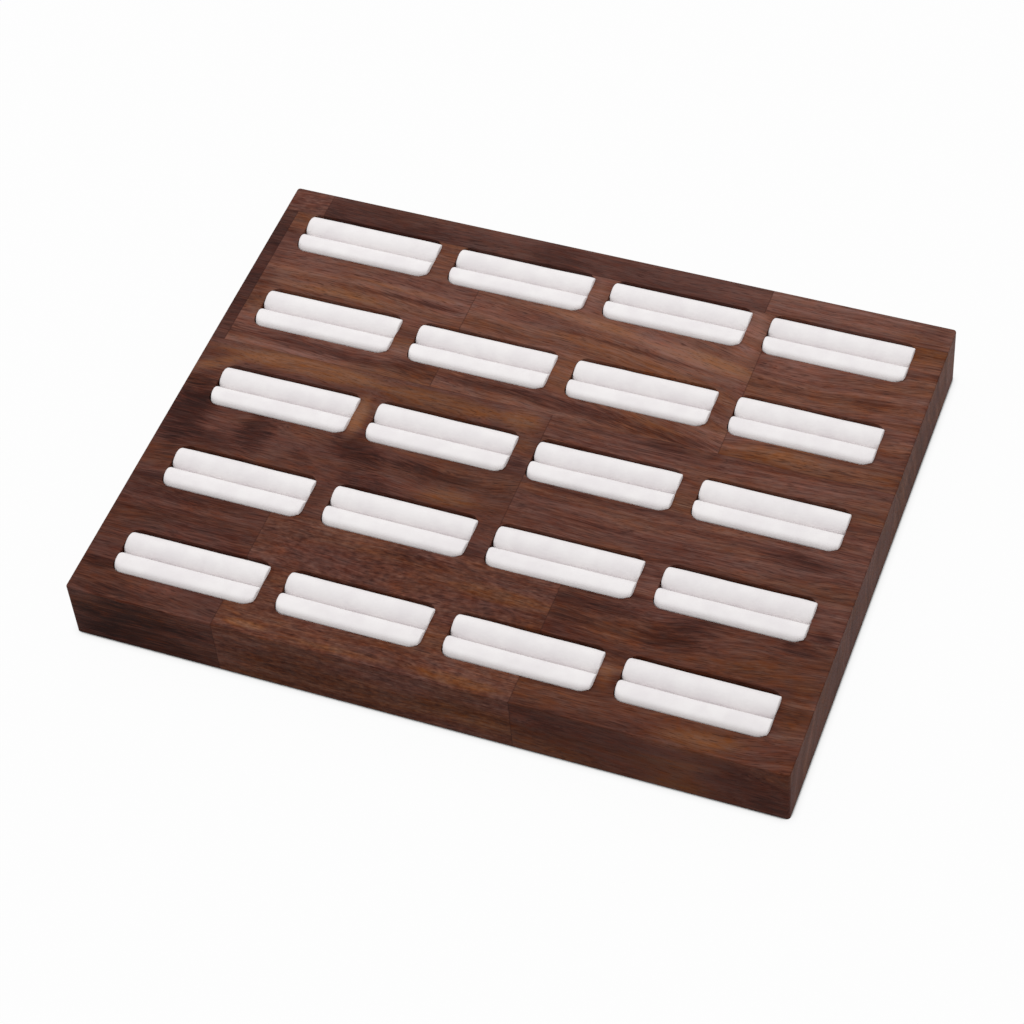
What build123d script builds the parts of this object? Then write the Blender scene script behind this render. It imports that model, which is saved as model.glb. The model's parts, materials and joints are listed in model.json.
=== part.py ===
from build123d import *
import math
import os

os.makedirs("parts", exist_ok=True)

# A wooden display tray: a board glued up from staves, with blind pockets milled in its top.
# Each pocket holds a loose insert, two padded rolls side by side that grip jewellery between them.
# X runs along the front edge, Y from front to back and Z up, from the centre of the underside.
# Sizes are in millimetres.

# Board
tray_width = 252.0
tray_depth = 200.0
tray_height = 24.0
corner_round = 1.2
top_round = 0.5
bottom_break = 0.25

# Pockets, a grid centred on the board
pocket_columns = 4
pocket_rows = 5
pocket_length = 52.0
pocket_width = 19.4
pocket_depth = 9.0
pocket_corner = 4.0
pocket_pitch_x = 59.2
pocket_pitch_y = 39.6

# Staves, with the grain along X: widths from the back edge, end joints from the left edge
back_stave_width = 11.6
full_stave_width = 68.0
back_joints = (15.1, 185.3)
upper_joints = (5.0, 84.0, 189.8)
lower_joints = (129.8,)
front_joints = (53.3, 158.1)

# Inserts: cloth wrapped round two foam rolls, tucked into a slit between them
insert_play = 0.25
crest_rise = 1.6
slit_width = 0.2
end_round = 0.9
cloth_thickness = 0.5
foam_play = 0.1
foam_flats = 5

# Sizes that follow from those above
pocket_floor = tray_height - pocket_depth
front_stave_width = tray_depth - back_stave_width - 2 * full_stave_width
insert_length = pocket_length - 2 * insert_play
insert_width = pocket_width - 2 * insert_play
insert_corner = pocket_corner - insert_play
insert_height = pocket_depth + crest_rise
roll_radius = (insert_width - slit_width) / 4
roll_axis_height = insert_height - roll_radius
roll_offset = roll_radius + slit_width / 2


def pocket_centre(row, column):
    """Centre of a pocket in plan. Row 1 is at the back and column 1 at the left."""
    x = (column - (pocket_columns + 1) / 2) * pocket_pitch_x
    y = ((pocket_rows + 1) / 2 - row) * pocket_pitch_y
    return x, y


def places():
    """Every pocket's row, column and centre."""
    return [
        (row, column, *pocket_centre(row, column))
        for row in range(1, pocket_rows + 1)
        for column in range(1, pocket_columns + 1)
    ]


def make_board():
    """The whole board as if in one piece, with its edges eased and its pockets milled."""
    blank = Box(tray_width, tray_depth, tray_height, align=(Align.CENTER, Align.CENTER, Align.MIN))
    blank = fillet(blank.edges().filter_by(Axis.Z), corner_round)
    blank = fillet(blank.faces().sort_by(Axis.Z)[-1].edges(), top_round)
    blank = chamfer(blank.faces().sort_by(Axis.Z)[0].edges(), bottom_break)
    outline = RectangleRounded(pocket_length, pocket_width, pocket_corner)
    cutter = extrude(outline, pocket_depth + top_round)
    return blank - [Pos(x, y, pocket_floor) * cutter for _, _, x, y in places()]


def make_staves(board):
    """The board parted at its glue lines. Returns a dictionary of name and solid."""
    beyond = tray_height
    rows = (
        ("back", back_stave_width, back_joints),
        ("upper", full_stave_width, upper_joints),
        ("lower", full_stave_width, lower_joints),
        ("front", front_stave_width, front_joints),
    )
    staves = {}
    back_line = tray_depth / 2
    for name, width, joints in rows:
        y_high = back_line + beyond if name == "back" else back_line
        y_low = back_line - width - (beyond if name == "front" else 0)
        ends = [-beyond, *joints, tray_width + beyond]
        for number, (start, end) in enumerate(zip(ends, ends[1:]), 1):
            block = Box(end - start, y_high - y_low, tray_height + 2 * beyond)
            centre = Pos((start + end - tray_width) / 2, (y_low + y_high) / 2, tray_height / 2)
            staves[f"stave_{name}_{number}"] = board & centre * block
        back_line -= width
    return staves


def pair(bar):
    """The bar given, in the place of the front roll and of the back one."""
    return [Pos(0, side * roll_offset, 0) * bar for side in (-1, 1)]


def insert_space():
    """The space of an insert, with the pocket's corners in plan and its crests let down at the ends."""
    upright = extrude(RectangleRounded(insert_length, insert_width, insert_corner), insert_height)
    side = RectangleRounded(insert_length, 2 * insert_height, end_round)
    along = extrude(Plane.XZ * side, insert_width, both=True)
    return upright & along


def roll_section():
    """A roll's outline across its length: a round crest on straight sides and a flat foot."""
    crest = Pos(0, roll_axis_height) * Circle(roll_radius)
    foot = Pos(0, roll_axis_height / 2) * Rectangle(2 * roll_radius, roll_axis_height)
    return crest + foot


def foam_section(inset):
    """A foam roll's outline, cut with flats from a slab, inside the roll's outline by the inset."""
    radius = roll_radius - inset
    turns = [math.pi * step / foam_flats for step in range(foam_flats + 1)]
    crown = [(radius * math.cos(turn), roll_axis_height + radius * math.sin(turn)) for turn in turns]
    return Polygon((-radius, inset), (radius, inset), *crown, align=None)


def foam_rolls(inset):
    """The two foam rolls of an insert, inside it by the inset, with their outer corners cut off."""
    plan = Rectangle(insert_length - 2 * inset, insert_width - 2 * inset)
    plan = chamfer(plan.vertices(), insert_corner - inset)
    upright = extrude(plan, insert_height)
    bar = extrude(Plane.YZ * foam_section(inset), insert_length / 2, both=True)
    return [roll & upright for roll in pair(bar)]


def make_cover():
    """The cloth of one insert in one piece, joined under the slit by a web of its own thickness."""
    space = insert_space()
    bar = extrude(Plane.YZ * roll_section(), insert_length / 2, both=True)
    front_roll, back_roll = [roll & space for roll in pair(bar)]
    web = extrude(RectangleRounded(insert_length, insert_width, insert_corner), cloth_thickness)
    return front_roll + back_roll + web - foam_rolls(cloth_thickness)


def make_foam():
    """The two foam rolls of one insert, with a little play inside the cloth."""
    return Compound(children=foam_rolls(cloth_thickness + foam_play))


def write(name, shape):
    """Writes one piece to its own file."""
    shape.label = name
    export_step(shape, f"parts/{name}.step")


for stave_name, stave in make_staves(make_board()).items():
    write(stave_name, stave)

cover = make_cover()
foam = make_foam()
for row, column, x, y in places():
    seat = Pos(x, y, pocket_floor)
    write(f"insert_r{row}_c{column}_cover", seat * cover)
    write(f"insert_r{row}_c{column}_foam", seat * foam)
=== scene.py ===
"""Dresses a wooden display tray: oiled walnut staves, and white cloth rolls in its pockets."""

import json
import math
from typing import NamedTuple

import bmesh
import bpy
from mathutils import Euler, Matrix, Vector

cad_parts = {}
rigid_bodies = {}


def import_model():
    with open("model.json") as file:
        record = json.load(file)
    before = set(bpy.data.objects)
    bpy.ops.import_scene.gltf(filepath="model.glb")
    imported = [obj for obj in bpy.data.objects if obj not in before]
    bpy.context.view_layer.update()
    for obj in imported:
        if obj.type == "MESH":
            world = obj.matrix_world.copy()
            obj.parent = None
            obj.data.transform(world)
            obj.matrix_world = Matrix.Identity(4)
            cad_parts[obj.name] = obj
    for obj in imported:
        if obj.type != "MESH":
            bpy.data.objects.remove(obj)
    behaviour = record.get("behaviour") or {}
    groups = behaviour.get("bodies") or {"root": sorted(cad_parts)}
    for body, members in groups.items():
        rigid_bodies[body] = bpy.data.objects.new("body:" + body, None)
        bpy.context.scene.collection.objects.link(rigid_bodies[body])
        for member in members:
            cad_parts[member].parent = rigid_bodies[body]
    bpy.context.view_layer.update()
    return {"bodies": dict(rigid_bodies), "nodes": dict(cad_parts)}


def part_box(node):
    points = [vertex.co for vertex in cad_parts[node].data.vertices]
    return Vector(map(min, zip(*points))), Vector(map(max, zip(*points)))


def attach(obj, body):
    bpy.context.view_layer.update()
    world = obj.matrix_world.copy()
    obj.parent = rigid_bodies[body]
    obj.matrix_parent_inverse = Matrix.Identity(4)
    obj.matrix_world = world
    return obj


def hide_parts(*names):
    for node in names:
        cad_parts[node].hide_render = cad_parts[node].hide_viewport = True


bl_info = {
    "name": "Walnut Display Tray",
    "version": (1, 0, 0),
    "blender": (4, 5, 0),
    "location": "3D View > Sidebar > Tray",
    "description": "Finishes a walnut display tray and its cloth-covered rolls",
    "category": "Object",
}

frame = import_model()

MM = 0.001
STAVES = [node for node in frame["nodes"] if node.startswith("stave_")]
INSERTS = [body for body in frame["bodies"] if body.startswith("insert_")]
STAVE_BOXES = {node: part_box(node) for node in STAVES}
BOARD_LOW = Vector([min(low[axis] for low, _ in STAVE_BOXES.values()) for axis in range(3)])
BOARD_HIGH = Vector([max(high[axis] for _, high in STAVE_BOXES.values()) for axis in range(3)])
COVER_LOW, COVER_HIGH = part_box("insert_r1_c1_cover")
FOAM_LOW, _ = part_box("insert_r1_c1_foam")
MIX_A, MIX_B, MIX_RESULT = 6, 7, 2  # the colours of a Mix node, which has other sockets of those names


def seat_of(insert):
    """The middle of an insert's underside, where the CAD has it."""
    low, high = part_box(insert + "_cover")
    return Vector(((low.x + high.x) / 2, (low.y + high.y) / 2, low.z))


def linear(colour):
    """A colour written as sRGB hex, such as 0x624038, as the linear red, green and blue of a shader."""
    shares = [(colour >> shift & 255) / 255 for shift in (16, 8, 0)]
    return [share / 12.92 if share <= 0.04045 else ((share + 0.055) / 1.055) ** 2.4 for share in shares]


def add(tree, kind, inputs=None, **settings):
    """Adds a node with its settings.

    An input is named or numbered, and is given a value, a socket, or a node whose first output is linked.
    """
    node = tree.nodes.new(kind)
    for name, value in settings.items():
        setattr(node, name, value)
    for name, value in (inputs or {}).items():
        if isinstance(value, bpy.types.Node):
            value = value.outputs[0]
        if isinstance(value, bpy.types.NodeSocket):
            tree.links.new(value, node.inputs[name])
        else:
            node.inputs[name].default_value = value
    return node


def cleared_tree(block):
    """The node tree of a new material or world, with nothing in it."""
    block.use_nodes = True
    block.node_tree.nodes.clear()
    return block.node_tree


def set_stops(ramp, stops):
    """Gives a colour ramp its stops, each a position and a colour, from the first to the last."""
    elements = ramp.color_ramp.elements
    for position, _ in stops[1:-1]:
        elements.new(position)
    for element, (position, colour) in zip(elements, stops):
        element.position = position
        element.color = (*colour, 1)


def summed(tree, mean, shares):
    """Adds patterns that run from 0 to 1, each with its share, so that they stray about the mean given."""
    total = mean - sum(share for _, share in shares) / 2
    for pattern, share in shares:
        total = add(tree, "ShaderNodeMath", {0: pattern, 1: share, 2: total}, operation="MULTIPLY_ADD")
    return total


def number_setting(name, description, default, **kind):
    """A setting that is a number, of the kind given."""
    return bpy.props.FloatProperty(name=name, description=description, default=default, **kind)


def length_setting(name, description, default):
    """A setting that is a length in metres."""
    return number_setting(name, description, default, unit="LENGTH")


def place_setting(name, description, default):
    """A setting that is a place or a shift in metres."""
    return bpy.props.FloatVectorProperty(
        name=name, description=description, default=default, subtype="TRANSLATION", size=3)


def colour_setting(name, description, value):
    """A setting that is a colour, given as sRGB hex."""
    return bpy.props.FloatVectorProperty(
        name=name, description=description, default=linear(value), subtype="COLOR", size=3, min=0, max=1)


class WoodSettings(bpy.types.PropertyGroup):
    """Colours and grain of the walnut."""

    deepest: colour_setting("Deepest Heartwood", "Colour of the darkest streaks", 0x28100C)
    dark: colour_setting("Dark Heartwood", "Colour of the darker staves", 0x47261F)
    middle: colour_setting("Heartwood", "Colour of most of the board", 0x603B32)
    light: colour_setting("Light Heartwood", "Colour of the lighter staves", 0x775045)
    palest: colour_setting("Palest Streaks", "Colour of the lightest streaks", 0x8A625A)
    golden: colour_setting("Golden Tint", "Tint laid over the honey-coloured wood", 0xFFF2C6)
    fibre_width: number_setting(
        "Fibre Width", "Width of a bundle of fibres, in millimetres, drawn coarse enough to show", 0.5,
        min=0.2, max=3)
    pore_width: number_setting(
        "Pore Width", "Width of a pore, in millimetres, drawn coarse enough to show", 0.32, min=0.1, max=1)
    roughness: number_setting(
        "Roughness", "Roughness of the oiled surface", 0.5, subtype="FACTOR", min=0, max=1)


class InsertSettings(bpy.types.PropertyGroup):
    """Sizes and colours of the padded inserts."""

    length: length_setting(
        "Length", "Length of an insert, whose soft ends reach the pocket's walls",
        COVER_HIGH.x - COVER_LOW.x + 0.2 * MM)
    width: length_setting("Width", "Width of both rolls together", COVER_HIGH.y - COVER_LOW.y)
    height: length_setting(
        "Height", "Height of a roll's crest above the pocket's floor", COVER_HIGH.z - COVER_LOW.z)
    corner: length_setting("Corner Radius", "Radius of an insert's corners in plan, below the rim", 3.75 * MM)
    slit: length_setting("Slit", "Width of the slit between the rolls", 0.2 * MM)
    cloth: length_setting("Cloth Thickness", "Thickness of the cloth with its backing", 0.5 * MM)
    tucked_end: length_setting("Tucked End Radius", "How softly the cloth turns in at the left end", 1.2 * MM)
    cut_end: length_setting("Cut End Radius", "How softly the cloth turns in at the right end", 0.45 * MM)
    unevenness: length_setting("Unevenness", "How far the hand-wrapped rolls swell and wander", 0.3 * MM)
    lie: place_setting(
        "Lie", "Where an insert is pressed in its pocket, off its middle", (0.15 * MM, -0.25 * MM, 0))
    pressed: number_setting(
        "Pressed Shoulder", "How round the front roll's pressed side stays, from 1, round, to 0, square",
        0.4, subtype="FACTOR", min=0, max=1)
    shift: length_setting("Shift", "How far one insert may lie from where the others do", 0.12 * MM)
    turn: number_setting(
        "Turn", "How far an insert may be turned in its pocket", math.radians(0.25), subtype="ANGLE")
    seed: bpy.props.IntProperty(name="Seed", description="Picks the unevenness of the inserts", default=7)
    white: colour_setting("Cloth", "Colour of the cloth", 0xF7F3F3)
    shade: colour_setting("Cloth Shade", "Colour of the cloth where the nap lies the other way", 0xF1ECED)


class StageSettings(bpy.types.PropertyGroup):
    """The camera, the lamps and the floor."""

    azimuth: number_setting(
        "Azimuth", "How far the camera stands round to the right", math.radians(24.681), subtype="ANGLE")
    elevation: number_setting(
        "Elevation", "How far the camera looks down", math.radians(49.687), subtype="ANGLE")
    roll: number_setting(
        "Roll", "How far the camera is turned about its own line of sight", math.radians(5.635),
        subtype="ANGLE")
    distance: length_setting("Distance", "From the point looked at to the camera", 1.03174)
    target: place_setting(
        "Point Looked At", "The point on the floor in the middle of the picture", (-2.84 * MM, -6.4 * MM, 0))
    lens: number_setting("Lens", "Focal length in millimetres, on a 36 mm frame", 104.43)
    floor: colour_setting("Floor", "Colour of the floor", 0xC4C4C4)
    sky: number_setting("Sky", "Strength of the light from all round", 0.66)
    key: number_setting("Key Lamp", "Power of the large soft lamp overhead, in watts", 7.3)
    key_length: length_setting("Key Lamp Length", "Length of the lamp", 1.2)
    key_width: length_setting("Key Lamp Width", "Width of the lamp", 0.9)
    key_place: place_setting("Key Lamp Place", "Where it hangs, turned to the tray", (-0.35, 0.45, 1.3))


class Mark(NamedTuple):
    """A streak or cloud in a stave's figure, with places and sizes in millimetres on the board's top."""

    at: tuple  # from the left edge and from the back edge
    size: tuple  # half its length and half its width
    tone: float  # lighter or darker
    fall: float = 0  # degrees that it falls towards the front on its way to the right
    gold: float = 0  # how honey-coloured it is


class Figure(NamedTuple):
    """How the grain of one stave runs. Lengths are in millimetres."""

    tone: float  # mean of the stave between the deepest heartwood, 0, and the palest, 1
    pith: tuple  # the tree's centre, from the back edge and above the underside
    ring: float  # from one growth ring to the next
    fall: float = 0  # how much the grain falls towards the front for each millimetre to the right
    bow: float = 0  # how much the grain's fall changes for each millimetre
    wander: float = 5  # how far the rings stray
    rings: float = 0.6  # how strongly the growth rings show, and so on
    fibres: float = 0.85
    clouds: float = 0.4
    flecks: float = 0
    gold: float = 0.4  # how honey-coloured it is all over
    blush: float = 0  # how rosy it is all over
    marks: tuple = ()


FIGURES = {
    "stave_back_1": Figure(0.55, (5, -60), 3.5, gold=0.1, flecks=0.6, clouds=0.25, blush=-0.01),
    "stave_back_2": Figure(
        0.41, (-20, -30), 6, gold=0.05, rings=0.35, fibres=0.6, blush=-0.06, marks=(
            Mark((38, 6), (28, 12), -0.13), Mark((105, 6), (14, 7), -0.12), Mark((142, 6), (16, 6), -0.05),
            Mark((177, 6), (15, 7), 0.1))),
    "stave_back_3": Figure(
        0.66, (60, -20), 3, gold=0.05, fibres=0.75, blush=-0.01, marks=(
            Mark((214, 7), (24, 1.8), 0.12), Mark((214, 1.5), (26, 1.2), 0.08),
            Mark((246, 6), (6, 10), -0.1))),
    "stave_upper_1": Figure(
        0.26, (45, -50), 6, gold=0, rings=0.4, blush=-0.05, marks=(
            Mark((2, 36), (4, 5), 0.12),)),
    "stave_upper_2": Figure(
        0.62, (120, -30), 5, gold=0.3, fall=0.03, blush=0.012, marks=(
            Mark((6, 40), (5, 34), -0.11), Mark((20, 33.5), (14, 2.5), 0.05),
            Mark((62, 38.4), (26, 1.8), 0.22, gold=0.8, fall=1), Mark((60, 42), (28, 1.7), -0.38, fall=1),
            Mark((36, 46.5), (28, 2.4), 0.18, gold=0.4), Mark((40, 75), (44, 2.8), -0.17),
            Mark((74, 71), (11, 2.8), -0.2))),
    "stave_upper_3": Figure(
        0.66, (150, -35), 4.5, gold=0.35, fall=0.06, bow=0.0008, rings=0.45, blush=0.01, marks=(
            Mark((133, 34), (26, 3.2), 0.26, gold=0.4, fall=6),
            Mark((170, 39.6), (26, 4.2), 0.35, gold=0.6, fall=7), Mark((184, 22), (5.5, 17), 0.22),
            Mark((125, 20), (4, 10), 0.12), Mark((160, 46), (30, 1.8), 0.14, fall=4),
            Mark((146, 42.4), (32, 1.1), -0.2, fall=4), Mark((100, 74), (18, 3), -0.32),
            Mark((136, 74.6), (24, 2.8), -0.28, fall=2), Mark((172, 77.6), (22, 2.2), -0.24))),
    "stave_upper_4": Figure(
        0.6, (180, -25), 3, gold=0.4, fall=-0.06, fibres=0.95, blush=0.012, marks=(
            Mark((205, 36), (14, 6), 0.1), Mark((232, 42.5), (12, 3.6), -0.16),
            Mark((214, 74), (28, 3.6), 0.13), Mark((210, 48), (16, 1.6), 0.06),
            Mark((255, 45), (5, 45), -0.16))),
    "stave_lower_1": Figure(
        0.46, (132, 2), 9, gold=0.2, wander=9, rings=0.5, fibres=0.75, blush=-0.01, marks=(
            Mark((7, 91.5), (12, 3.4), 0.26, gold=0.6, fall=-28),
            Mark((40, 83.6), (38, 5.2), 0.4, gold=1.0), Mark((20, 86), (12, 2.2), 0.1, fall=-15),
            Mark((92, 85.2), (34, 5), 0.2, gold=0.9), Mark((121, 84), (9, 9), 0.2, gold=0.6),
            Mark((65.2, 100), (3.8, 11), 0.44, gold=0.8), Mark((7, 114), (10, 20), -0.34),
            Mark((34, 117), (8, 14), -0.3, fall=8), Mark((22, 125), (12, 6), -0.2),
            Mark((51, 114), (10, 5), 0.03, gold=0.3), Mark((71, 116), (12, 6.5), -0.26, fall=25),
            Mark((102, 116.6), (25, 3), -0.26), Mark((88, 110), (20, 2.4), 0.14, gold=0.5),
            Mark((108, 125), (13, 4.2), 0.22, gold=0.7, fall=-4), Mark((79, 127), (14, 5), -0.16, fall=10),
            Mark((42, 126), (5, 3), 0.08), Mark((53, 124), (6, 2.8), -0.16, fall=20),
            Mark((125.5, 94), (4, 4), 0.12, gold=0.3), Mark((125.5, 103), (4, 3.2), -0.26, fall=10),
            Mark((65.5, 140), (4, 9), -0.1), Mark((125, 145), (5, 2.8), -0.2),
            Mark((7, 146), (9, 2.6), -0.24))),
    "stave_lower_2": Figure(
        0.5, (40, 4), 2.8, gold=0.2, fall=-0.02, fibres=0.9, marks=(
            Mark((148, 82), (16, 3), 0.04), Mark((171, 82), (8, 3), -0.14), Mark((220, 85), (32, 6), 0.09),
            Mark((170, 117.3), (40, 1.9), 0.12), Mark((230, 117.3), (16, 3.2), -0.27),
            Mark((174, 123), (28, 1.7), -0.1), Mark((203, 110.5), (14, 2.6), 0.17),
            Mark((246.5, 135), (5, 6), 0.09), Mark((246.5, 146), (6, 3), -0.27),
            Mark((184, 147), (5, 2.2), -0.24))),
    "stave_front_1": Figure(
        0.38, (260, -10), 2.6, gold=0.3, rings=0.35, fibres=0.9, fall=0.02, marks=(
            Mark((22, 151), (24, 1.5), -0.07), Mark((26, 155.5), (26, 1.5), 0.06),
            Mark((7, 187), (8, 3), -0.2), Mark((30, 191.3), (13, 1.9), 0.16),
            Mark((16, 197), (20, 2.1), -0.12), Mark((27, 203), (32, 4.2), -0.32))),
    "stave_front_2": Figure(
        0.47, (172, -30), 6, gold=0.4, flecks=0.7, rings=0.55, fibres=0.8, blush=0.012, marks=(
            Mark((78, 150), (12, 1.9), 0.12), Mark((106, 153.5), (16, 3), -0.24, fall=2),
            Mark((142, 160), (18, 3.6), 0.19, gold=0.7), Mark((125, 178), (4, 9), 0.07),
            Mark((64, 196.5), (10, 1.9), 0.36, gold=0.8), Mark((140, 197), (17, 2.5), 0.17, gold=0.8),
            Mark((149, 188), (8, 2), 0.22), Mark((96, 197.5), (20, 1.7), 0.14, gold=0.5),
            Mark((105, 206), (54, 5), -0.04))),
    "stave_front_3": Figure(
        0.43, (110, -20), 6, gold=0.4, fall=-0.06, wander=7, blush=0.015, marks=(
            Mark((164, 157), (8, 11), -0.12), Mark((178, 154), (10, 3.2), -0.18),
            Mark((203, 156.5), (16, 6.5), -0.23, fall=-20), Mark((225, 159), (10, 4), 0.06),
            Mark((241, 151.5), (9, 3.2), -0.2), Mark((246.5, 175), (5, 14), 0.08, gold=0.4),
            Mark((184, 180), (4, 5.5), 0.25, gold=0.4), Mark((180, 190), (15, 2), -0.07),
            Mark((221, 195.5), (20, 5), 0.27, gold=0.9, fall=-5), Mark((210, 205), (46, 5), 0.25),
            Mark((255, 175), (5, 30), 0.1))),
}


# Sizes of the walnut's patterns in millimetres, along the grain and twice across it
STRAY_SIZE = (75, 22, 22)
CLOUD_SIZE = (40, 9, 9)
FLECK_SIZE = (2.4, 1.1, 1.1)
BLUSH_SIZE = (6, 1.7, 1.7)
FIBRE_LENGTH = 11
PORE_LENGTH = 5

STRAY_STEP = 90  # sets staves of different tones far apart in the noise that their rings stray by
LOG_TAPER = 0.01  # how fast the rings narrow along the log
GOLD_SHARE = 2  # how far the honey colour follows the straying, and the clouds
BLUSH_SHARE = 0.62  # how far the rosiness changes from one bundle of fibres to the next
CLOUD_BLUSH = 0.16  # and with the clouds
EVENING = 0.6  # how far a rosier place is brightened, so that it isn't darker than the rest
MARK_FRAY = (0.8, 1.2)  # how far fibres and clouds fray a mark's edge, as shares of its size
MARK_FADE = (0.35, 1.25)  # where a mark begins to fade and where it ends, likewise
MARK_DRIFT = 0.25  # how far a mark follows the straying of the rings
PORE_NOISE = (0.56, 0.7)  # the noise at a pore's edge and at its deepest
PORE_SHADE = 0.52  # how far a pore darkens the wood
PORE_DEPTH = 1.5  # against 1 for the fibres' relief
DULLING = (-0.06, 0.1)  # what the closed and the open fibres add to the roughness
GLUE_WIDTH = 0.3  # millimetres of each stave that a glue line darkens
GLUE_SHADE = {"X": 0.5, "Y": 0.3}  # how far it does so at an end joint, and along the grain
GLUE_MARGIN = 0.5  # a side this near to the board's own, in millimetres, has no glue line


def run_of_grain(tree, place, figure, start):
    """How the grain runs through a place on the board.

    start is where the stave begins, in millimetres from the board's left edge. Returns the noise that the
    rings stray by, how far they stray, and the place along and across the straightened grain.
    """
    stray_place = add(tree, "ShaderNodeMapping", {
        "Vector": place, "Scale": [1 / size for size in STRAY_SIZE],
        "Location": (figure.tone * STRAY_STEP, 0, 0)})
    stray = add(tree, "ShaderNodeTexNoise", {"Vector": stray_place, "Scale": 1, "Detail": 2}).outputs["Color"]
    centred = add(tree, "ShaderNodeVectorMath", {0: stray, 1: (0.5, 0.5, 0.5)}, operation="SUBTRACT")
    reach = (0, 2 * figure.wander, 2 * figure.wander)
    drift = add(tree, "ShaderNodeVectorMath", {0: centred, 1: reach}, operation="MULTIPLY")
    strayed = add(tree, "ShaderNodeVectorMath", {0: place, 1: drift}, operation="ADD")

    # The grain falls and bows along the stave
    parts = add(tree, "ShaderNodeSeparateXYZ", {0: strayed}).outputs
    along = add(tree, "ShaderNodeMath", {0: parts["X"], 1: start}, operation="SUBTRACT")
    slope = add(tree, "ShaderNodeMath", {0: along, 1: figure.bow, 2: figure.fall}, operation="MULTIPLY_ADD")
    fall = add(tree, "ShaderNodeMath", {0: along, 1: slope}, operation="MULTIPLY")
    across = add(tree, "ShaderNodeMath", {0: parts["Y"], 1: fall}, operation="SUBTRACT")
    grain = add(tree, "ShaderNodeCombineXYZ", {0: parts["X"], 1: across, 2: parts["Z"]})
    return stray, drift, grain


def laid_marks(tree, place, frayed, marks, tone, gold):
    """The tone and the gold with a stave's own streaks and clouds laid over them.

    frayed is how far their edges are drawn in, as a share of their size.
    """
    for mark in marks:
        angle = -math.radians(mark.fall)
        centre = Vector((*mark.at, 0))
        centre.rotate(Euler((0, 0, angle)))
        scale = (1 / mark.size[0], 1 / mark.size[1], 0)
        unturned = add(tree, "ShaderNodeVectorRotate", {"Vector": place, "Angle": angle},
                       rotation_type="Z_AXIS")
        scaled = add(tree, "ShaderNodeMapping", {
            "Vector": unturned, "Scale": scale,
            "Location": [-value * share for value, share in zip(centre, scale)]})
        radius = add(tree, "ShaderNodeVectorMath", {0: scaled}, operation="LENGTH").outputs["Value"]
        radius = add(tree, "ShaderNodeMath", {0: radius, 1: frayed}, operation="ADD")
        cover = add(tree, "ShaderNodeMapRange", {
            "Value": radius, "From Min": MARK_FADE[0], "From Max": MARK_FADE[1], "To Min": 1, "To Max": 0},
            interpolation_type="SMOOTHSTEP")
        tone = add(tree, "ShaderNodeMath", {0: cover, 1: mark.tone, 2: tone}, operation="MULTIPLY_ADD")
        if mark.gold:
            gold = add(tree, "ShaderNodeMath", {0: cover, 1: mark.gold, 2: gold}, operation="MULTIPLY_ADD")
    return tone, gold


def glue_lines(tree, place, low, high):
    """How far the glue lines darken a place: a thread along each side where the stave meets another."""
    spans = add(tree, "ShaderNodeSeparateXYZ", {0: place}).outputs
    board = {"X": (BOARD_HIGH.x - BOARD_LOW.x) / MM, "Y": (BOARD_HIGH.y - BOARD_LOW.y) / MM}
    darkened = 0.0
    for axis, side, inward in (
        ("X", (low.x - BOARD_LOW.x) / MM, 1), ("X", (high.x - BOARD_LOW.x) / MM, -1),
        ("Y", (BOARD_HIGH.y - high.y) / MM, 1), ("Y", (BOARD_HIGH.y - low.y) / MM, -1),
    ):
        if GLUE_MARGIN < side < board[axis] - GLUE_MARGIN:
            near = add(tree, "ShaderNodeMapRange", {
                "Value": spans[axis], "From Min": side + inward * GLUE_WIDTH, "From Max": side,
                "To Max": GLUE_SHADE[axis]})
            darkened = add(tree, "ShaderNodeMath", {0: darkened, 1: near}, operation="MAXIMUM")
    return darkened


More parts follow.
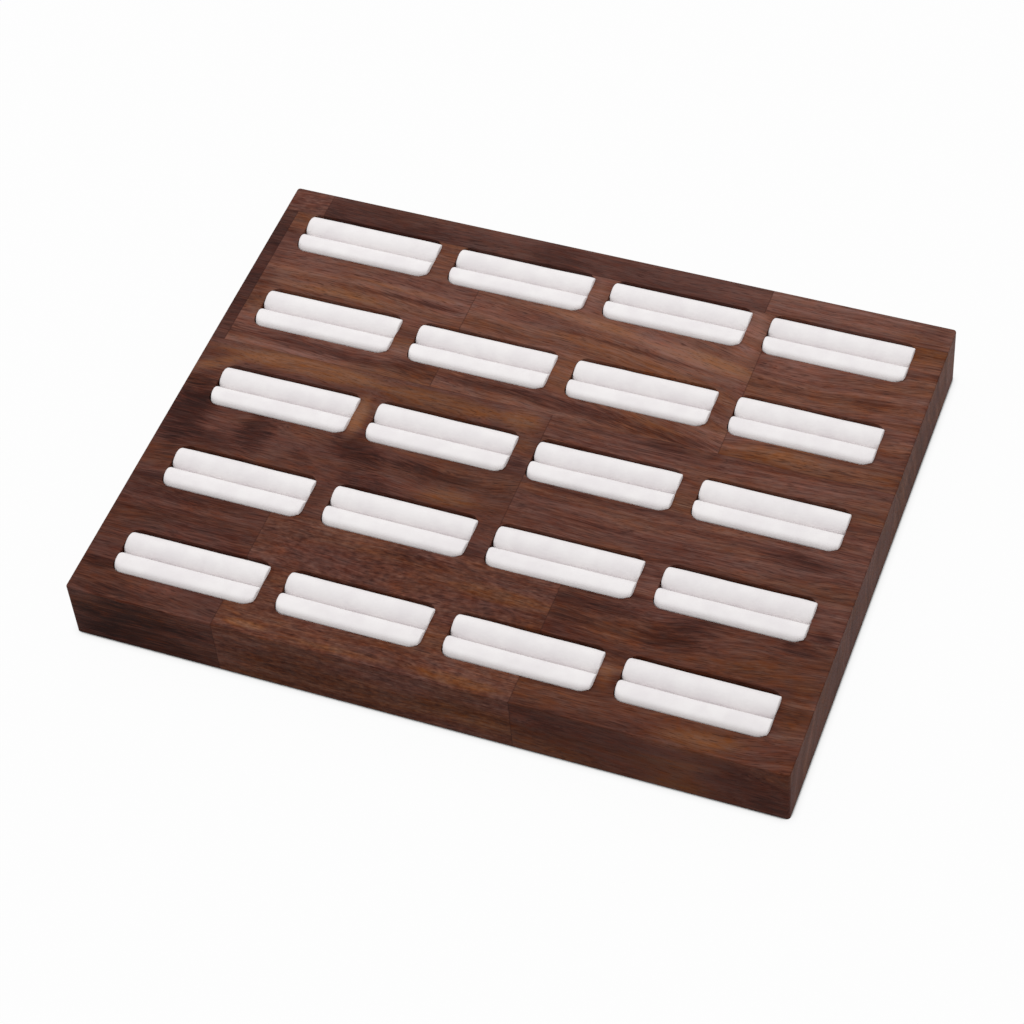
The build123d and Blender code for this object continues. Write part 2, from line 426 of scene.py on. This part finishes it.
def walnut(name, figure, low, high):
    """American black walnut, planed, sanded and oiled: satin, with dark rings, fine fibres and open pores.

    The grain is a solid figure about the tree's pith, so it runs on from the top over the sides, and
    shows as arcs on the end grain. Lengths in it are millimetres from the board's left back corner.
    """
    wood = bpy.context.scene.tray_wood
    material = bpy.data.materials.new(name)
    tree = cleared_tree(material)
    object_place = add(tree, "ShaderNodeTexCoord").outputs["Object"]
    place = add(tree, "ShaderNodeMapping", {
        "Vector": object_place, "Scale": (1 / MM, -1 / MM, 1 / MM),
        "Location": (-BOARD_LOW.x / MM, BOARD_HIGH.y / MM, 0)})
    stray, drift, grain = run_of_grain(tree, place, figure, (low.x - BOARD_LOW.x) / MM)

    # Growth rings about the pith
    from_pith = add(tree, "ShaderNodeVectorMath", {0: grain, 1: (0, *figure.pith)}, operation="SUBTRACT")
    across = add(tree, "ShaderNodeVectorMath", {0: from_pith, 1: (LOG_TAPER, 1, 1)}, operation="MULTIPLY")
    radius = add(tree, "ShaderNodeVectorMath", {0: across}, operation="LENGTH").outputs["Value"]
    count = add(tree, "ShaderNodeMath", {0: radius, 1: figure.ring}, operation="DIVIDE")
    rings = add(tree, "ShaderNodeTexNoise", {"W": count, "Scale": 1, "Detail": 3, "Roughness": 0.6},
                noise_dimensions="1D")

    # Patterns stretched along the grain, each with its size, detail and roughness
    noises = []
    for size, detail, roughness in (
        ((FIBRE_LENGTH, wood.fibre_width, wood.fibre_width), 3, 0.6), (CLOUD_SIZE, 3, 0.5),
        (FLECK_SIZE, 2, 0.5), (BLUSH_SIZE, 4, 0.65),
        ((PORE_LENGTH, wood.pore_width, wood.pore_width), 1, 0.5),
    ):
        stretched = add(tree, "ShaderNodeVectorMath", {0: grain, 1: [1 / length for length in size]},
                        operation="MULTIPLY")
        noises.append(add(tree, "ShaderNodeTexNoise", {
            "Vector": stretched, "Scale": 1, "Detail": detail, "Roughness": roughness}))
    fibres, clouds, flecks, blush, pore_noise = noises
    stray_tint = add(tree, "ShaderNodeSeparateXYZ", {0: stray}).outputs
    cloud_tint = add(tree, "ShaderNodeSeparateXYZ", {0: clouds.outputs["Color"]}).outputs

    # Tone, how honey-coloured the wood is and how rosy, each about the stave's own
    tone = summed(tree, figure.tone, (
        (rings, figure.rings), (fibres, figure.fibres), (clouds, figure.clouds), (flecks, figure.flecks)))
    gold = summed(tree, figure.gold, ((stray_tint["X"], GOLD_SHARE), (cloud_tint["Y"], GOLD_SHARE)))
    rosy = summed(tree, 1 + figure.blush, ((blush, BLUSH_SHARE), (cloud_tint["Z"], CLOUD_BLUSH)))

    # The stave's own streaks and clouds, with edges frayed along the fibres
    frayed = summed(tree, 0, ((fibres, MARK_FRAY[0]), (clouds, MARK_FRAY[1])))
    small_drift = add(tree, "ShaderNodeVectorMath", {0: drift, "Scale": MARK_DRIFT}, operation="SCALE")
    mark_place = add(tree, "ShaderNodeVectorMath", {0: place, 1: small_drift}, operation="ADD")
    tone, gold = laid_marks(tree, mark_place, frayed, figure.marks, tone, gold)

    ramp = add(tree, "ShaderNodeValToRGB", {0: tone})
    set_stops(ramp, (
        (0, wood.deepest), (0.25, wood.dark), (0.5, wood.middle), (0.75, wood.light), (1, wood.palest)))
    heartwood = add(tree, "ShaderNodeMix", {"Factor": gold, MIX_A: ramp, MIX_B: (*wood.golden, 1)},
                    data_type="RGBA", blend_type="MULTIPLY").outputs[MIX_RESULT]
    evened = add(tree, "ShaderNodeMath", {0: rosy, 1: EVENING, 2: 1 - EVENING}, operation="MULTIPLY_ADD")
    heartwood = add(tree, "ShaderNodeHueSaturation", {
        "Color": heartwood, "Saturation": rosy, "Value": evened})

    # Open pores, which are short dark dashes along the grain, and glue lines
    pores = add(tree, "ShaderNodeMapRange", {
        "Value": pore_noise, "From Min": PORE_NOISE[0], "From Max": PORE_NOISE[1]},
        interpolation_type="SMOOTHSTEP")
    pore_share = add(tree, "ShaderNodeMath", {0: pores, 1: PORE_SHADE}, operation="MULTIPLY")
    colour = heartwood
    for share in (pore_share, glue_lines(tree, place, low, high)):
        colour = add(tree, "ShaderNodeMix", {"Factor": share, MIX_A: colour, MIX_B: (*wood.deepest, 1)},
                     data_type="RGBA").outputs[MIX_RESULT]

    # The oil sinks into the open fibres, which stay a little duller
    dulling = add(tree, "ShaderNodeMapRange", {
        "Value": fibres, "To Min": wood.roughness + DULLING[0], "To Max": wood.roughness + DULLING[1]})
    relief = add(tree, "ShaderNodeMath", {0: pores, 1: -PORE_DEPTH, 2: fibres}, operation="MULTIPLY_ADD")
    bump = add(tree, "ShaderNodeBump", {"Strength": 0.35, "Distance": 0.06 * MM, "Height": relief})
    shader = add(tree, "ShaderNodeBsdfPrincipled", {
        "Base Color": colour, "Roughness": dulling, "IOR": 1.45, "Specular IOR Level": 0.06, "Normal": bump})
    add(tree, "ShaderNodeOutputMaterial", {"Surface": shader})
    return material


MOTTLE = 7 * MM  # size of the cloth's lighter and darker patches
TUFT = (0.8 * MM, 0.35 * MM, 1 * MM)  # of the nap, along and across the roll, drawn coarse enough to show
FOAM_CELL = 0.6 * MM


def brushed_cloth():
    """White brushed microfibre cloth: matt and soft, with a short nap that shows as a faint mottle."""
    insert = bpy.context.scene.tray_insert
    material = bpy.data.materials.new("brushed_microfibre_cloth")
    tree = cleared_tree(material)
    place = add(tree, "ShaderNodeTexCoord").outputs["Object"]
    mottle = add(tree, "ShaderNodeTexNoise", {"Vector": place, "Scale": 1 / MOTTLE, "Detail": 3})
    lean = add(tree, "ShaderNodeMapRange", {"Value": mottle, "From Min": 0.35, "From Max": 0.65})
    colour = add(tree, "ShaderNodeMix", {
        "Factor": lean, MIX_A: (*insert.white, 1), MIX_B: (*insert.shade, 1)},
        data_type="RGBA").outputs[MIX_RESULT]
    along_cloth = add(tree, "ShaderNodeUVMap", uv_map="cloth")
    tufts = add(tree, "ShaderNodeMapping", {"Vector": along_cloth, "Scale": [1 / size for size in TUFT]})
    nap = add(tree, "ShaderNodeTexNoise", {"Vector": tufts, "Scale": 1, "Detail": 3, "Roughness": 0.7})
    bump = add(tree, "ShaderNodeBump", {"Strength": 0.3, "Distance": 0.08 * MM, "Height": nap})
    shader = add(tree, "ShaderNodeBsdfPrincipled", {
        "Base Color": colour, "Roughness": 0.9, "IOR": 1.45, "Specular IOR Level": 0.2,
        "Sheen Weight": 0.15, "Sheen Roughness": 0.5, "Normal": bump})
    add(tree, "ShaderNodeOutputMaterial", {"Surface": shader})
    return material


def cut_foam():
    """Cream polyurethane foam cut from a slab: dull, with fine open cells."""
    material = bpy.data.materials.new("cut_polyurethane_foam")
    tree = cleared_tree(material)
    place = add(tree, "ShaderNodeTexCoord").outputs["Object"]
    cells = add(tree, "ShaderNodeTexVoronoi", {"Vector": place, "Scale": 1 / FOAM_CELL}).outputs["Distance"]
    ramp = add(tree, "ShaderNodeValToRGB", {0: cells})
    set_stops(ramp, ((0, linear(0xCFC3A4)), (1, linear(0xF1E9D2))))
    bump = add(tree, "ShaderNodeBump", {"Strength": 0.5, "Distance": 0.15 * MM, "Height": cells})
    shader = add(tree, "ShaderNodeBsdfPrincipled", {
        "Base Color": ramp, "Roughness": 0.95, "IOR": 1.45, "Specular IOR Level": 0.15, "Normal": bump})
    add(tree, "ShaderNodeOutputMaterial", {"Surface": shader})
    return material


# Sizes that shape the rolls close up
FOOT_ROUND = 0.7 * MM  # radius of the edge along a roll's foot
FOOT_LIFT = 0.2 * MM  # the most that the foot rises at a roll's soft ends
SLIT_FLOOR = 0.05 * MM  # how far the slit's floor lies above the cloth under it
END_DOME = 0.25 * MM  # how far the ends stand out in their middles
SPRING_TOP = 0.4 * MM  # how far above the rim the cloth has sprung out over the pocket's corners
SPRING_HEIGHT = 1 * MM  # the height over which it does so
COVER_STEPS = (7, 44, 4)  # along the left end, the straight part and the right end
MEASURED_RING = 20  # along the straight part, where the cloth is measured round the rolls

# At the tucked end and at the cut end: how much of the corner's drawing-in the front roll keeps above the
# rim, and the power by which the drawing-in fades towards the slit
TUCKED_HOLD = (1.0, 1.0)
CUT_HOLD = (0.4, 2)

FOAM_ROUND = 0.9 * MM  # radius of the foam's ends
FOAM_LIFT = 0.3 * MM  # the most that its foot rises there
FOAM_HEEL = 0.4 * MM  # how far its side by the slit ends above its foot
FOAM_CORNER = 1.15  # times what the cloth is drawn in at the pocket's corners
FOAM_STEPS = (3, 10, 3)


def arc(start, end, steps):
    """Angles from start to end, both included."""
    return [start + (end - start) * step / steps for step in range(steps + 1)]


def roll_outline(inner, outer, foot, base, shoulder, crest, outside=1):
    """One roll across its length, as (y, z) from its foot by the slit, round its outside to the slit's floor.

    inner and outer are its sides. foot, base, shoulder and crest are the heights of its underside, of the
    slit's floor, of its straight side's end and of its top. outside is 1 where the outer shoulder is round,
    and less where it is squarer.
    """
    half, middle = (outer - inner) / 2, (outer + inner) / 2
    edge = FOOT_ROUND
    points = [(inner + (outer - edge - inner) * step / 6, foot) for step in range(6)]
    points += [(outer - edge + edge * math.sin(turn), foot + edge - edge * math.cos(turn))
               for turn in arc(0, math.pi / 2, 4)]
    points += [(outer, foot + edge + (shoulder - foot - edge) * step / 5) for step in range(1, 5)]
    points += [
        (middle + half * max(math.cos(turn), 0) ** outside, shoulder + (crest - shoulder) * math.sin(turn))
        for turn in arc(0, math.pi / 2, 12)]
    points += [(middle + half * math.cos(turn), shoulder + (crest - shoulder) * math.sin(turn))
               for turn in arc(math.pi / 2, math.pi, 12)[1:]]
    points += [(inner, shoulder + (base - shoulder) * step / 6) for step in range(1, 7)]
    return points


def shoulder_height(insert):
    """Where a roll's straight sides end and its round crest begins, a roll's radius below its top."""
    return insert.height - (insert.width - insert.slit) / 4


def pull_in(x, insert):
    """How far the outer side of a roll is drawn in at x, to follow the pocket's round corner."""
    past = abs(x) - (insert.length / 2 - insert.corner)
    if past <= 0:
        return 0
    return insert.corner - math.sqrt(max(insert.corner ** 2 - min(past, insert.corner) ** 2, 0))


def stations(half, left, right, steps):
    """Places along a roll, each with how far its outline is drawn in there for its soft ends.

    half is half its length, left and right are the radii of its ends, and steps is for all three parts.
    """
    left_steps, straight_steps, right_steps = steps
    straight = 2 * half - left - right
    places = [(-half + left * (1 - math.sin(turn)), left * (1 - math.cos(turn)))
              for turn in arc(math.pi / 2, 0, left_steps)]
    places += [(-half + left + straight * step / straight_steps, 0) for step in range(1, straight_steps)]
    places += [(half - right * (1 - math.sin(turn)), right * (1 - math.cos(turn)))
               for turn in arc(0, math.pi / 2, right_steps)]
    return places


def band(mesh, first, second):
    """The faces between two rings of corners, all the way round."""
    return [mesh.faces.new((one, one_after, other_after, other))
            for one, one_after, other_after, other in zip(
                first, first[1:] + first[:1], second[1:] + second[:1], second)]


def close_end(mesh, loop, bulge, cloth_uv):
    """Closes one roll's end with rings of faces that shrink to its middle, pushed out by the bulge given."""
    middle = sum((vert.co for vert in loop), Vector()) / len(loop)
    faces = []
    ring = loop
    for share in (0.85, 0.6, 0.3):
        push = Vector((bulge * (1 - share ** 2), 0, 0))
        smaller = [mesh.verts.new(middle.lerp(vert.co, share) + push) for vert in loop]
        faces += band(mesh, ring, smaller)
        ring = smaller
    top = mesh.verts.new(middle + Vector((bulge, 0, 0)))
    faces += [mesh.faces.new((one, after, top)) for one, after in zip(ring, ring[1:] + ring[:1])]
    for face in faces:
        for corner in face.loops:
            corner[cloth_uv].uv = (corner.vert.co.z, corner.vert.co.y)


def foam_body(mesh, insert, inset, turn):
    """Adds one closed roll inside the insert's outline by the inset.

    turn is 1 for the back roll and -1 for the front one.
    """
    shoulder = shoulder_height(insert)
    rings = []
    for x, drawn in stations(insert.length / 2 - inset, FOAM_ROUND, FOAM_ROUND, FOAM_STEPS):
        within = inset + drawn
        inner = insert.slit / 2 + within
        outer = insert.width / 2 - within - FOAM_CORNER * pull_in(x, insert)
        outline = roll_outline(inner, outer, inset + min(drawn, FOAM_LIFT), inset + FOAM_HEEL, shoulder,
                               insert.height - within)
        # Every other point is enough for foam
        rings.append([mesh.verts.new((x, turn * y, z)) for y, z in outline[::2]])
    for first, second in zip(rings, rings[1:]):
        band(mesh, first, second)
    mesh.faces.new(rings[0])
    mesh.faces.new(rings[-1])


def roll_pair(insert, rim):
    """The cloth of one insert, about the middle of its underside, with hollows for the foam.

    rim is the height of the pocket's rim, above which the foam springs out over the pocket's corners.
    """
    mesh = bmesh.new()
    cloth_uv = mesh.loops.layers.uv.new("cloth")
    side = insert.width / 2
    shoulder = shoulder_height(insert)
    rings = []
    for x, inset in stations(insert.length / 2, insert.tucked_end, insert.cut_end, COVER_STEPS):
        inner = insert.slit / 2 + inset
        drawn = pull_in(x, insert)
        front_hold, fade = TUCKED_HOLD if x < 0 else CUT_HOLD
        ring = []
        for turn, outside, hold in ((1, 1, 0), (-1, insert.pressed, front_hold)):
            outline = roll_outline(inner, side - inset, min(inset, FOOT_LIFT), insert.cloth + SLIT_FLOOR,
                                   shoulder, insert.height - inset, outside)
            for y, z in outline[::turn]:
                below = min(max((rim + SPRING_TOP - z) / SPRING_HEIGHT, 0), 1)
                below *= below * (3 - 2 * below)
                share = max((y - inner) / (side - inset - inner), 0)
                drawn_here = drawn * share ** fade * (hold + (1 - hold) * below)
                ring.append(mesh.verts.new((x, turn * (y - drawn_here), z)))
        rings.append(ring)

    # The cloth's UV runs along the rolls and round them, in metres
    measured = rings[MEASURED_RING]
    lengths = [0.0]
    for one, after in zip(measured, measured[1:] + measured[:1]):
        lengths.append(lengths[-1] + (after.co - one.co).length)
    for first, second in zip(rings, rings[1:]):
        for face, start, end in zip(band(mesh, first, second), lengths, lengths[1:]):
            for loop, span in zip(face.loops, (start, end, end, start)):
                loop[cloth_uv].uv = (loop.vert.co.x, span)

    # The ends, a roll at a time, domed a little
    half = len(rings[0]) // 2
    for ring, outward in ((rings[0], -1), (rings[-1], 1)):
        for lobe in (ring[:half], ring[half:]):
            close_end(mesh, lobe, outward * END_DOME, cloth_uv)
        mesh.faces.new((ring[half - 1], ring[half], ring[-1], ring[0]))
    bmesh.ops.recalc_face_normals(mesh, faces=mesh.faces[:])

    # The hollows that hold the foam
    outer_faces = set(mesh.faces)
    for turn in (1, -1):
        foam_body(mesh, insert, insert.cloth, turn)
    hollows = [face for face in mesh.faces if face not in outer_faces]
    bmesh.ops.recalc_face_normals(mesh, faces=hollows)
    bmesh.ops.reverse_faces(mesh, faces=hollows)
    return mesh


# How the hand-wrapped rolls are uneven, with wavelengths in millimetres along, across and up
WAVES = (22, 14, 30)
RIPPLES = (6, 5, 7)
RIPPLE_SHARE = 0.12  # of the waves
STRENGTHS = (1, 1.6, 1.6)  # along, across and up
STILL_BELOW = 0.6 * MM  # the underside stays flat
FREE_ABOVE = 8 * MM  # and the crests are as uneven as they get


def seating_tree(name, material):
    """Nodes that make a master roll pair uneven, turn and shift it a little, and seat it in its pocket."""
    tree = bpy.data.node_groups.new(name, "GeometryNodeTree")
    for socket, kind in (
        ("Geometry", "NodeSocketGeometry"), ("Seat", "NodeSocketVector"), ("Unevenness", "NodeSocketFloat"),
        ("Shift", "NodeSocketFloat"), ("Turn", "NodeSocketFloat"), ("Seed", "NodeSocketInt"),
    ):
        tree.interface.new_socket(socket, in_out="INPUT", socket_type=kind)
    tree.interface.new_socket("Geometry", in_out="OUTPUT", socket_type="NodeSocketGeometry")
    given = add(tree, "NodeGroupInput").outputs
    place = add(tree, "GeometryNodeInputPosition")

    # A slow swell and wander along each roll, with finer ripples
    noises = []
    for lengths, detail in ((WAVES, 1), (RIPPLES, 0)):
        scale = [1 / (length * MM) for length in lengths]
        stretched = add(tree, "ShaderNodeVectorMath", {0: place, 1: scale}, operation="MULTIPLY")
        noises.append(add(tree, "ShaderNodeTexNoise", {
            "Vector": stretched, "W": given["Seed"], "Scale": 1, "Detail": detail},
            noise_dimensions="4D").outputs["Color"])
    ripples = add(tree, "ShaderNodeVectorMath", {0: noises[1], "Scale": RIPPLE_SHARE}, operation="SCALE")
    both = add(tree, "ShaderNodeVectorMath", {0: noises[0], 1: ripples}, operation="ADD")
    centred = add(tree, "ShaderNodeVectorMath", {0: both, 1: [(1 + RIPPLE_SHARE) / 2] * 3},
                  operation="SUBTRACT")
    height = add(tree, "ShaderNodeSeparateXYZ", {0: place}).outputs["Z"]
    lift = add(tree, "ShaderNodeMapRange", {"Value": height, "From Min": STILL_BELOW, "From Max": FREE_ABOVE},
               interpolation_type="SMOOTHSTEP")
    reach = add(tree, "ShaderNodeVectorMath", {0: centred, "Scale": given["Unevenness"]}, operation="SCALE")
    strength = add(tree, "ShaderNodeVectorMath", {0: reach, 1: STRENGTHS}, operation="MULTIPLY")
    offset = add(tree, "ShaderNodeVectorMath", {0: strength, "Scale": lift}, operation="SCALE")
    uneven = add(tree, "GeometryNodeSetPosition", {"Geometry": given["Geometry"], "Offset": offset})

    # Where the insert happens to lie in its pocket
    stray = add(tree, "FunctionNodeRandomValue", {0: (-1, -0.5, 0), 1: (1, 0.5, 0), "ID": given["Seed"]},
                data_type="FLOAT_VECTOR")
    shift = add(tree, "ShaderNodeVectorMath", {0: stray, "Scale": given["Shift"]}, operation="SCALE")
    seat = add(tree, "ShaderNodeVectorMath", {0: given["Seat"], 1: shift}, operation="ADD")
    swing = add(tree, "ShaderNodeSeparateXYZ", {0: stray}).outputs["X"]
    angle = add(tree, "ShaderNodeMath", {0: swing, 1: given["Turn"]}, operation="MULTIPLY")
    turn = add(tree, "ShaderNodeCombineXYZ", {"Z": angle})
    seated = add(tree, "GeometryNodeTransform", {"Geometry": uneven, "Translation": seat, "Rotation": turn})
    real = add(tree, "GeometryNodeRealizeInstances", {"Geometry": seated})
    done = add(tree, "GeometryNodeSetMaterial", {"Geometry": real, "Material": material})
    add(tree, "NodeGroupOutput", {"Geometry": done})
    return tree


def seated_copy(name, master, tree, values):
    """A plain mesh of the master as the tree makes it with the values given, as a new object of that name."""
    piece = bpy.data.objects.new(name, master)
    bpy.context.scene.collection.objects.link(piece)
    modifier = piece.modifiers.new("seat", "NODES")
    modifier.node_group = tree
    identifiers = {item.name: item.identifier for item in tree.interface.items_tree if item.in_out == "INPUT"}
    for socket, value in values.items():
        modifier[identifiers[socket]] = value
    evaluated = piece.evaluated_get(bpy.context.evaluated_depsgraph_get())
    plain = bpy.data.meshes.new_from_object(evaluated)
    piece.modifiers.remove(modifier)
    piece.data = plain
    plain.name = name
    return piece


def finished_mesh(name, mesh):
    """Turns a bmesh into a smooth-shaded mesh of that name."""
    data = bpy.data.meshes.new(name)
    mesh.to_mesh(data)
    mesh.free()
    data.shade_smooth()
    return data


def seat_all(context, part, master, tree, unevenness):
    """Seats a copy of the master in every pocket, riding on its insert's body in place of its CAD node."""
    insert = context.scene.tray_insert
    for number, body in enumerate(INSERTS):
        node = f"{body}_{part}"
        if node not in frame["nodes"]:
            raise RuntimeError(f"the frame has no node named {node}")
        piece = seated_copy(f"{body}_{part}_finished", master, tree, {
            "Seat": seat_of(body) + Vector(insert.lie), "Unevenness": unevenness, "Shift": insert.shift,
            "Turn": insert.turn, "Seed": insert.seed + number})
        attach(piece, body)
        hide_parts(node)


class TRAY_OT_staves(bpy.types.Operator):
    """Give each of the board's staves its own walnut figure"""

    bl_idname = "tray.finish_staves"
    bl_label = "Finish Staves"

    def execute(self, context):
        for node in STAVES:
            if node not in FIGURES:
                raise RuntimeError(f"{node} has no figure")
            stave = frame["nodes"][node]
            name = "oiled_walnut_" + node.removeprefix("stave_")
            material = walnut(name, FIGURES[node], *STAVE_BOXES[node])
            if not stave.material_slots:
                stave.data.materials.append(material)
            stave.material_slots[0].material = material
        return {"FINISHED"}


class TRAY_OT_covers(bpy.types.Operator):
    """Wrap white brushed cloth round every pair of rolls"""

    bl_idname = "tray.wrap_covers"
    bl_label = "Wrap Covers"

    def execute(self, context):
        insert = context.scene.tray_insert
        rim = BOARD_HIGH.z - COVER_LOW.z
        master = finished_mesh("cover_master", roll_pair(insert, rim))
        tree = seating_tree("seated_cover", brushed_cloth())
        seat_all(context, "cover", master, tree, insert.unevenness)
        return {"FINISHED"}


class TRAY_OT_foam(bpy.types.Operator):
    """Put the two foam rolls inside every cover"""

    bl_idname = "tray.fill_foam"
    bl_label = "Fill Foam"

    def execute(self, context):
        insert = context.scene.tray_insert
        mesh = bmesh.new()
        inset = FOAM_LOW.x - COVER_LOW.x
        for turn in (1, -1):
            foam_body(mesh, insert, inset, turn)
        bmesh.ops.recalc_face_normals(mesh, faces=mesh.faces[:])
        master = finished_mesh("foam_master", mesh)
        tree = seating_tree("seated_foam", cut_foam())
        seat_all(context, "foam", master, tree, 0)
        return {"FINISHED"}


class TRAY_OT_stage(bpy.types.Operator):
    """Set the camera, the soft lamps and the white floor"""

    bl_idname = "tray.set_stage"
    bl_label = "Set Stage"

    def execute(self, context):
        stage = context.scene.tray_stage
        set_camera(context, stage)
        set_lamps(context, stage)
        set_floor(context, stage)
        context.scene.view_settings.view_transform = "Standard"
        return {"FINISHED"}


def set_camera(context, stage):
    """A long lens above the tray's right front, turned a little about its own line of sight."""
    across = Vector((math.cos(stage.azimuth), math.sin(stage.azimuth), 0))
    level = Vector((-math.sin(stage.azimuth), math.cos(stage.azimuth), 0))
    forward = level * math.cos(stage.elevation) - Vector((0, 0, math.sin(stage.elevation)))
    upward = across.cross(forward)
    right = across * math.cos(stage.roll) - upward * math.sin(stage.roll)
    up = across * math.sin(stage.roll) + upward * math.cos(stage.roll)
    camera = bpy.data.objects.new("camera", bpy.data.cameras.new("camera"))
    camera.data.lens = stage.lens
    camera.data.sensor_width = 36
    camera.data.clip_start = 0.05
    turn = Matrix((right, up, -forward)).transposed().to_4x4()
    camera.matrix_world = Matrix.Translation(Vector(stage.target) - forward * stage.distance) @ turn
    context.scene.collection.objects.link(camera)
    context.scene.camera = camera


def set_lamps(context, stage):
    """A large soft lamp overhead and light from all round, which the camera sees as white."""
    lamp = bpy.data.lights.new("key_lamp", "AREA")
    lamp.shape = "RECTANGLE"
    lamp.size, lamp.size_y = stage.key_length, stage.key_width
    lamp.energy = stage.key
    key = bpy.data.objects.new("key_lamp", lamp)
    place = Vector(stage.key_place)
    key.matrix_world = Matrix.Translation(place) @ place.to_track_quat("Z", "Y").to_matrix().to_4x4()
    context.scene.collection.objects.link(key)

    world = bpy.data.worlds.new("white_surroundings")
    tree = cleared_tree(world)
    path = add(tree, "ShaderNodeLightPath").outputs
    seen = path["Is Camera Ray"]
    for other in (path["Is Transmission Ray"], path["Is Glossy Ray"]):
        seen = add(tree, "ShaderNodeMath", {0: seen, 1: other}, operation="MAXIMUM")
    strength = add(tree, "ShaderNodeMix", {"Factor": seen, "A": stage.sky, "B": 1.0}, data_type="FLOAT")
    sky = add(tree, "ShaderNodeBackground", {"Color": (1, 1, 1, 1), "Strength": strength})
    add(tree, "ShaderNodeOutputWorld", {"Surface": sky})
    context.scene.world = world


FLOOR_REACH = 4  # metres from the tray's middle to the floor's sides
FLOOR_MARGIN = 1 * MM  # how far inside the tray's outline the floor is open
FLOOR_DROP = 0.02 * MM  # keeps it clear of the underside
PAINTED_SHADOW_REACH = 3 * MM  # how near the tray the painted contact shadow in the floor's glow reaches
PAINTED_CONTACT_SHADOW = ((0.5, 0.05), (0.57, 0.62), (0.62, 0.87), (0.78, 0.955), (1, 1))  # openness and brightness of the painted contact shadow
SEEN_GLOW = 0.97  # how much of what the camera sees of the floor is a white glow, which carries the painted contact shadow near the tray
REFLECTED_GLOW = 0.4  # and how much of what a reflection shows, painted contact shadow and all


def set_floor(context, stage):
    """A white painted floor that the camera sees a little brighter than it is, with the tray's faint cast
    shadow and a painted contact shadow: near the tray its glow is darkened by ambient occlusion.

    It is open just inside the tray's outline, so that the underside is lit and seen from below.
    """
    mesh = bmesh.new()
    reach = FLOOR_REACH
    left, front, height = BOARD_LOW + Vector((FLOOR_MARGIN, FLOOR_MARGIN, -FLOOR_DROP))
    right, back = (BOARD_HIGH - Vector((FLOOR_MARGIN, FLOOR_MARGIN, 0))).xy
    outside, inside = [[mesh.verts.new((*corner, height)) for corner in rim] for rim in (
        ((-reach, -reach), (reach, -reach), (reach, reach), (-reach, reach)),
        ((left, front), (right, front), (right, back), (left, back)),
    )]
    band(mesh, outside, inside)
    data = bpy.data.meshes.new("floor")
    mesh.to_mesh(data)
    mesh.free()
    floor = bpy.data.objects.new("floor", data)
    context.scene.collection.objects.link(floor)

    material = bpy.data.materials.new("matt_white_floor_paint")
    tree = cleared_tree(material)
    path = add(tree, "ShaderNodeLightPath").outputs
    matt = add(tree, "ShaderNodeBsdfDiffuse", {"Color": (*stage.floor, 1)})
    # Ambient occlusion darkens the glow near the tray: a painted contact shadow in the floor's colour,
    # standing in for the shade beside and under the tray
    open_air = add(tree, "ShaderNodeAmbientOcclusion", {"Distance": PAINTED_SHADOW_REACH}, samples=16).outputs["AO"]
    painted_contact_shadow = add(tree, "ShaderNodeValToRGB", {0: open_air})
    set_stops(painted_contact_shadow, [(openness, [level] * 3) for openness, level in PAINTED_CONTACT_SHADOW])
    glow = add(tree, "ShaderNodeEmission", {"Color": painted_contact_shadow, "Strength": 1.0})
    glossy = add(tree, "ShaderNodeMath", {0: path["Is Glossy Ray"], 1: REFLECTED_GLOW}, operation="MULTIPLY")
    share = add(tree, "ShaderNodeMath", {0: path["Is Camera Ray"], 1: SEEN_GLOW, 2: glossy},
                operation="MULTIPLY_ADD")
    shader = add(tree, "ShaderNodeMixShader", {0: share, 1: matt, 2: glow})
    add(tree, "ShaderNodeOutputMaterial", {"Surface": shader})
    data.materials.append(material)


class TRAY_PT_sidebar(bpy.types.Panel):
    """Lists the tray's settings and the steps that dress it"""

    bl_idname = "TRAY_PT_sidebar"
    bl_label = "Walnut Display Tray"
    bl_space_type = "VIEW_3D"
    bl_region_type = "UI"
    bl_category = "Tray"

    def draw(self, context):
        for group, step in STEPS:
            settings = getattr(context.scene, group)
            box = self.layout.box()
            for name in settings.bl_rna.properties.keys():
                if name not in ("rna_type", "name"):
                    box.prop(settings, name)
            for operator in step:
                box.operator(operator.bl_idname)


STEPS = (
    ("tray_wood", (TRAY_OT_staves,)),
    ("tray_insert", (TRAY_OT_covers, TRAY_OT_foam)),
    ("tray_stage", (TRAY_OT_stage,)),
)
GROUPS = {"tray_wood": WoodSettings, "tray_insert": InsertSettings, "tray_stage": StageSettings}
CLASSES = (*GROUPS.values(), TRAY_OT_staves, TRAY_OT_covers, TRAY_OT_foam, TRAY_OT_stage, TRAY_PT_sidebar)


def register():
    """Adds the classes, and the settings to every scene."""
    for kind in CLASSES:
        bpy.utils.register_class(kind)
    for name, kind in GROUPS.items():
        setattr(bpy.types.Scene, name, bpy.props.PointerProperty(type=kind))


def unregister():
    """Takes away what register added."""
    for name in GROUPS:
        delattr(bpy.types.Scene, name)
    for kind in reversed(CLASSES):
        bpy.utils.unregister_class(kind)


def main():
    """Dresses the tray."""
    register()
    bpy.ops.tray.finish_staves()
    bpy.ops.tray.wrap_covers()
    bpy.ops.tray.fill_foam()
    bpy.ops.tray.set_stage()


if __name__ == "__main__":
    main()
